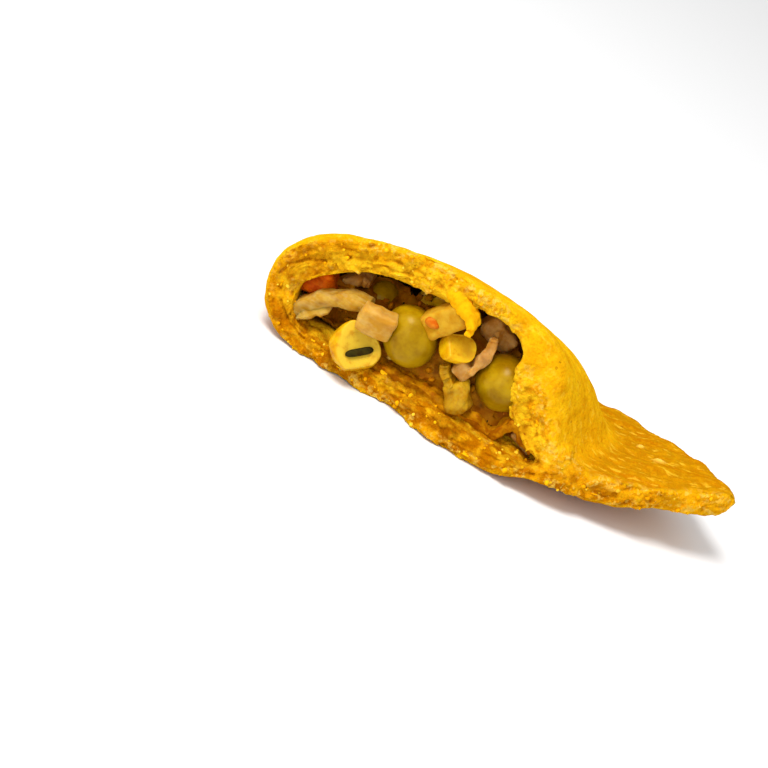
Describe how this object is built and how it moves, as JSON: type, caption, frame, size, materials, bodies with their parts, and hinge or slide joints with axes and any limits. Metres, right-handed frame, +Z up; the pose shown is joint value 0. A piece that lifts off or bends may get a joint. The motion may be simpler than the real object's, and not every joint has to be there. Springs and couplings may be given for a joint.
{
  "type": "vegetable patty half",
  "caption": "Torn half of a half-moon baked patty: golden pastry shell with a sealed flange and a filling of peas, corn, onion and carrot at its open side.",
  "frame": {"origin": "middle of the part's box, on the surface that it rests on", "axes": "+X from the fold to the flange, +Y from the torn face into the patty, +Z up from the flat base"},
  "size_m": [0.0825, 0.057, 0.0253],
  "materials": {
    "pastry": null,
    "vegetables": null
  },
  "bodies": {
    "root": {"crust": "pastry", "filling": "vegetables"}
  },
  "joints": []
}
